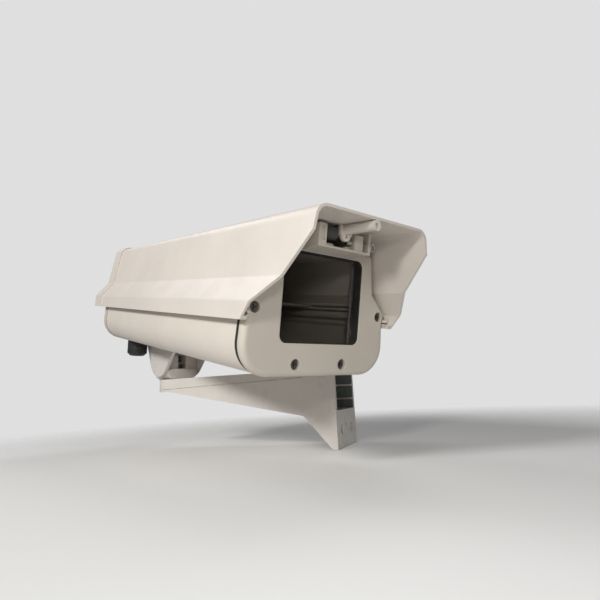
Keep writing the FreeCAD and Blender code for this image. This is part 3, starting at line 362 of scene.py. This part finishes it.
def makePaint(name, look):
    material, tree, surface = newMaterial(name, {"Specular IOR Level": paintLook["specular"]})
    place = objectPlace(tree)
    edges = useGroup(tree, softEdge, {"Radius": look["edge"]})
    dustMask = useGroup(tree, dust, {"Amount": look["dust"], "Patch Size": paintLook["patchSize"]})["Mask"]
    scuffMask = useGroup(tree, scuffs, {"Amount": look["scuffs"], "Turn": look["turn"]})["Mask"]
    wide = noise(tree, place, *paintLook["wideNoise"])
    darkest = 1.0 - look["mottle"]
    shade = spread(tree, wide, paintLook["mottleFrom"], paintLook["mottleTo"], darkest, 1.0)
    grey = addNode(tree, "ShaderNodeCombineColor", {"Red": shade, "Green": shade, "Blue": shade})
    colour = mix(tree, 1.0, look["colour"], grey.outputs["Color"], how="MULTIPLY")
    # lightened edges: worn paint, and where the factor is high a painted highlight
    wornAndHighlit = tuple(min(1.0, part * paintLook["wornAndHighlit"]) for part in look["colour"][:3]) + (1,)
    colour = mix(tree, product(tree, edges["Edge"], look["edgeWearAndHighlight"]), colour, wornAndHighlit)
    colour = mix(tree, scuffMask, colour, paintLook["scuffColour"])
    normal = edges["Normal"]
    if look.get("casting") == "arm":
        # painted dark line along the crease (dirt and shade), and painted shade inside the arm's mouth
        colour = mix(tree, creaseDirtAndShadeMask(tree, place), colour, armCrease["colour"])
        colour = mix(tree, mouthShadeMask(tree, place), colour, armMouthShade["colour"])
        normal = creasedNormal(tree, normal)
    if look.get("casting") == "body":
        # painted shade on the body's inner walls
        colour = mix(tree, hollowShadeMask(tree, place), colour, bodyHollowShade["colour"])
    tree.links.new(mix(tree, dustMask, colour, look["dustColour"]), surface.inputs["Base Color"])
    span = paintLook["roughSpan"]
    rough = calc(tree, "MULTIPLY_ADD", wide, span, look["gloss"] - span / 2)
    rough = calc(tree, "ADD", rough, product(tree, dustMask, paintLook["dustRough"]))
    tree.links.new(rough, surface.inputs["Roughness"])
    peel = noise(tree, place, *paintLook["peelNoise"])
    height = calc(tree, "SUBTRACT", peel, product(tree, scuffMask, paintLook["scuffDepth"]))
    addBump(tree, surface, paintLook["bump"], look["grain"], height, normal)
    return material


metalLook = {
    "edge": 0.0003, "dust": 0.35, "patchSize": 90.0, "dustColour": (0.42, 0.38, 0.32, 1),
    "blotch": {"noise": (260, 6, 0.7, 0.5), "range": (0.48, 0.7)},
    "roughNoise": (900, 3), "roughSpan": 0.2, "stainRough": 0.4,
    "turnedStretch": (1, 1, 9), "turnedNoise": (700, 2), "bump": 0.4, "grain": 0.00004,
}
metals = {
    "zinc_steel": {
        "colour": (0.56, 0.54, 0.50, 1), "rough": 0.34, "stain": (0.20, 0.13, 0.08, 1), "stained": 0.45,
    },
    "plain_aluminium": {
        "colour": (0.66, 0.66, 0.65, 1), "rough": 0.42, "stain": (0.40, 0.40, 0.39, 1), "stained": 0.3,
    },
}


def makeMetal(name, look):
    material, tree, surface = newMaterial(name, {})
    place = objectPlace(tree)
    edges = useGroup(tree, softEdge, {"Radius": metalLook["edge"]})
    dustValues = {"Amount": metalLook["dust"], "Patch Size": metalLook["patchSize"]}
    dustMask = useGroup(tree, dust, dustValues)["Mask"]
    stained = product(tree, patches(tree, place, metalLook["blotch"]), look["stained"])
    colour = mix(tree, stained, look["colour"], look["stain"])
    tree.links.new(mix(tree, dustMask, colour, metalLook["dustColour"]), surface.inputs["Base Color"])
    metallic = calc(tree, "SUBTRACT", 1.0, calc(tree, "MAXIMUM", stained, dustMask))
    tree.links.new(metallic, surface.inputs["Metallic"])
    span = metalLook["roughSpan"]
    rough = noise(tree, place, *metalLook["roughNoise"])
    rough = calc(tree, "MULTIPLY_ADD", rough, span, look["rough"] - span / 2)
    rough = calc(tree, "ADD", rough, product(tree, stained, metalLook["stainRough"]))
    tree.links.new(rough, surface.inputs["Roughness"])
    turned = noise(tree, stretched(tree, place, metalLook["turnedStretch"]), *metalLook["turnedNoise"])
    addBump(tree, surface, metalLook["bump"], metalLook["grain"], turned, edges["Normal"])
    return material


darkLook = {
    "specular": 0.4, "patchSize": 70.0, "dustColour": (0.30, 0.27, 0.22, 1),
    "fade": {"noise": (60, 5, 0.6), "range": (0.35, 0.75)}, "fadeFactor": 1.7, "fadeLift": 0.006,
    "roughNoise": (420, 3), "roughSpan": 0.16, "dustRough": 0.4,
    "grainNoise": (1300, 2), "bump": 0.5,
}
darks = {
    "seal_rubber": {
        "colour": (0.012, 0.012, 0.012, 1), "rough": 0.62, "metallic": 0.0,
        "dust": 0.30, "grain": 0.00008, "edge": 0.0003,
    },
    "dark_steel": {
        "colour": (0.085, 0.080, 0.070, 1), "rough": 0.30, "metallic": 0.6,
        "dust": 0.34, "grain": 0.00003, "edge": 0.0003,
    },
    "grey_rubber": {
        "colour": (0.045, 0.052, 0.050, 1), "rough": 0.60, "metallic": 0.0,
        "dust": 0.30, "grain": 0.00006, "edge": 0.0006,
    },
    "gland_plastic": {
        "colour": (0.009, 0.009, 0.010, 1), "rough": 0.42, "metallic": 0.0,
        "dust": 0.10, "grain": 0.00005, "edge": 0.0005,
    },
}


def makeDark(name, look):
    plain = {"Specular IOR Level": darkLook["specular"], "Metallic": look["metallic"]}
    material, tree, surface = newMaterial(name, plain)
    place = objectPlace(tree)
    edges = useGroup(tree, softEdge, {"Radius": look["edge"]})
    dustMask = useGroup(tree, dust, {"Amount": look["dust"], "Patch Size": darkLook["patchSize"]})["Mask"]
    faded = tuple(part * darkLook["fadeFactor"] + darkLook["fadeLift"] for part in look["colour"][:3]) + (1,)
    colour = mix(tree, patches(tree, place, darkLook["fade"]), look["colour"], faded)
    tree.links.new(mix(tree, dustMask, colour, darkLook["dustColour"]), surface.inputs["Base Color"])
    span = darkLook["roughSpan"]
    rough = noise(tree, place, *darkLook["roughNoise"])
    rough = calc(tree, "MULTIPLY_ADD", rough, span, look["rough"] - span / 2)
    rough = calc(tree, "ADD", rough, product(tree, dustMask, darkLook["dustRough"]))
    tree.links.new(rough, surface.inputs["Roughness"])
    grain = noise(tree, place, *darkLook["grainNoise"])
    addBump(tree, surface, darkLook["bump"], look["grain"], grain, edges["Normal"])
    return material


windowLook = {
    "ior": 1.5, "specular": 0.2, "tint": (0.006, 0.006, 0.006, 1), "clear": 0.03,
    "film": 0.010, "filmColour": (0.34, 0.32, 0.28, 1), "filmRough": 1.2, "rough": 0.04,
    "cloud": {"noise": (30, 6, 0.65, 0.5), "range": (0.4, 0.75)},
    "streak": {"noise": (1.0, 4, 0.6, 0.3), "range": (0.5, 0.8)},
    "streakStretch": (22, 22, 190), "streakTurn": (0.3, 0.2, 0),
    "speck": {"noise": (1300, 1), "range": (0.66, 0.73)},
}


def makeWindow():
    # clear pane with a thin film of dust and wiped streaks
    plain = {"IOR": windowLook["ior"], "Specular IOR Level": windowLook["specular"]}
    material, tree, surface = newMaterial("window", plain)
    place = objectPlace(tree)
    wiped = stretched(tree, place, windowLook["streakStretch"], windowLook["streakTurn"])
    film = patches(tree, place, windowLook["cloud"])
    film = calc(tree, "MAXIMUM", film, patches(tree, wiped, windowLook["streak"]))
    film = calc(tree, "MAXIMUM", film, patches(tree, place, windowLook["speck"]))
    film = product(tree, film, windowLook["film"])
    colour = mix(tree, film, windowLook["tint"], windowLook["filmColour"])
    tree.links.new(colour, surface.inputs["Base Color"])
    rough = calc(tree, "MULTIPLY_ADD", film, windowLook["filmRough"], windowLook["rough"])
    tree.links.new(rough, surface.inputs["Roughness"])
    tree.links.new(calc(tree, "ADD", film, windowLook["clear"]), surface.inputs["Alpha"])
    return material


finishes = {"window": makeWindow()}
for makeFinish, looks in ((makePaint, paints), (makeMetal, metals), (makeDark, darks)):
    for slotName, look in looks.items():
        finishes[slotName] = makeFinish(slotName, look)
for row in frame["record"]["subparts"]:
    for plug in cadNodes[row["node"]].material_slots:
        plug.material = finishes[row["material_slot"]]
print("finishes made and put on:", len(finishes))


# Stage, light and camera

floorLook = {
    "radius": 2.0, "sides": 96, "middle": (0.05, -0.1), "gap": 0.0005,
    "colour": (0.90, 0.895, 0.885, 1), "shade": (0.80, 0.795, 0.78, 1), "rough": 0.8, "specular": 0.15,
    "tone": {"noise": (3, 4), "range": (0.3, 0.7, 0.0, 0.12)},
    "fadeFrom": 0.25, "fadeTo": 0.85,  # distances from the wall plate
}


def makeFloor():
    shape = bmesh.new()
    radius, sides = floorLook["radius"], floorLook["sides"]
    bmesh.ops.create_circle(shape, cap_ends=True, segments=sides, radius=radius)
    level = cadBox[0][2] - floorLook["gap"]
    bmesh.ops.translate(shape, verts=shape.verts, vec=(*floorLook["middle"], level))
    mesh = bpy.data.meshes.new("floor")
    shape.to_mesh(mesh)
    shape.free()
    floor = bpy.data.objects.new("floor", mesh)
    bpy.context.collection.objects.link(floor)
    plain = {"Roughness": floorLook["rough"], "Specular IOR Level": floorLook["specular"]}
    material, tree, surface = newMaterial("floorFinish", plain)
    place = objectPlace(tree)
    colour = mix(tree, patches(tree, place, floorLook["tone"]), floorLook["colour"], floorLook["shade"])
    tree.links.new(colour, surface.inputs["Base Color"])
    distance = addNode(tree, "ShaderNodeVectorMath", {0: place}, operation="LENGTH").outputs["Value"]
    shown = spread(tree, distance, floorLook["fadeTo"], floorLook["fadeFrom"])
    tree.links.new(shown, surface.inputs["Alpha"])
    mesh.materials.append(material)


lampAim = (0.04, -0.11, 0.07)
lamps = {
    "keyLamp": {
        "towards": (0.78, -0.39, 0.48), "far": 2.0, "wide": 0.42, "power": 20,
        "colour": (1.0, 0.99, 0.975),
    },
    "frontLamp": {
        "towards": (0.95, 0.10, 0.27), "far": 2.0, "wide": 0.28, "power": 13,
        "colour": (1.0, 0.99, 0.97),
    },
    "windowLamp": {
        "towards": (0.84, 0.537, 0.084), "far": 0.56, "wide": 0.05, "power": 0.27,
        "colour": (1.0, 0.99, 0.97),
    },
    "sideLamp": {
        "towards": (0.20, 0.97, 0.12), "far": 2.0, "wide": 0.8, "power": 2.5,
        "colour": (1.0, 0.985, 0.96),
    },
    "backLamp": {
        "towards": (-0.20, -0.63, 0.75), "far": 2.0, "wide": 0.8, "power": 5,
        "colour": (0.98, 0.99, 1.0),
    },
    "topLamp": {
        "towards": (-0.46, 0.13, 0.88), "far": 2.0, "wide": 0.8, "power": 5,
        "colour": (0.98, 0.99, 1.0),
    },
}


def makeLamps():
    for name, look in lamps.items():
        data = bpy.data.lights.new(name, "AREA")
        data.shape = "DISK"
        data.size = look["wide"]
        data.energy = look["power"]
        data.color = look["colour"]
        lamp = bpy.data.objects.new(name, data)
        towards = Vector(look["towards"]).normalized()
        lamp.location = Vector(lampAim) + towards * look["far"]
        lamp.rotation_euler = towards.to_track_quat("Z", "Y").to_euler()
        bpy.context.collection.objects.link(lamp)


worldLook = {
    "soft": {"Color": (0.98, 0.98, 1.0, 1), "Strength": 0.06},  # lights what the lamps don't reach
    "reflected": {"Color": (1, 1, 1, 1), "Strength": 0.22},  # seen in paint and metal
    "backdrop": {"Color": (1, 1, 1, 1), "Strength": 0.74},  # seen by the camera and through the pane
}


def mixShader(tree, amount, first, second):
    return addNode(tree, "ShaderNodeMixShader", {0: amount, 1: first, 2: second}).outputs[0]


def makeWorld():
    world = bpy.data.worlds.new("studio")
    bpy.context.scene.world = world
    world.use_nodes = True
    tree = world.node_tree
    tree.nodes.clear()
    skies = {}
    for name, values in worldLook.items():
        skies[name] = addNode(tree, "ShaderNodeBackground", values).outputs[0]
    rays = tree.nodes.new("ShaderNodeLightPath").outputs
    seen = calc(tree, "MAXIMUM", rays["Is Camera Ray"], rays["Is Transmission Ray"])
    unseen = mixShader(tree, rays["Is Glossy Ray"], skies["soft"], skies["reflected"])
    addNode(tree, "ShaderNodeOutputWorld", {"Surface": mixShader(tree, seen, unseen, skies["backdrop"])})


viewpoint = {
    "place": (0.50049, 0.14788, 0.00072),
    "right": (-0.37326, 0.92639, -0.04971),
    "up": (0.16347, 0.11842, 0.97942),
    "back": (0.91321, 0.35745, -0.19564),
    "lens": 27.28, "sensor": 36.0, "nearest": 0.01,
}


def makeCamera():
    data = bpy.data.cameras.new("camera")
    data.sensor_width = viewpoint["sensor"]
    data.lens = viewpoint["lens"]
    data.clip_start = viewpoint["nearest"]
    camera = bpy.data.objects.new("camera", data)
    turn = Matrix((viewpoint["right"], viewpoint["up"], viewpoint["back"])).transposed().to_4x4()
    camera.matrix_world = Matrix.Translation(viewpoint["place"]) @ turn
    bpy.context.collection.objects.link(camera)
    bpy.context.scene.camera = camera


makeFloor()
makeLamps()
makeWorld()
makeCamera()
bpy.context.scene.view_settings.view_transform = "Standard"
print("stage, lamps and camera placed")
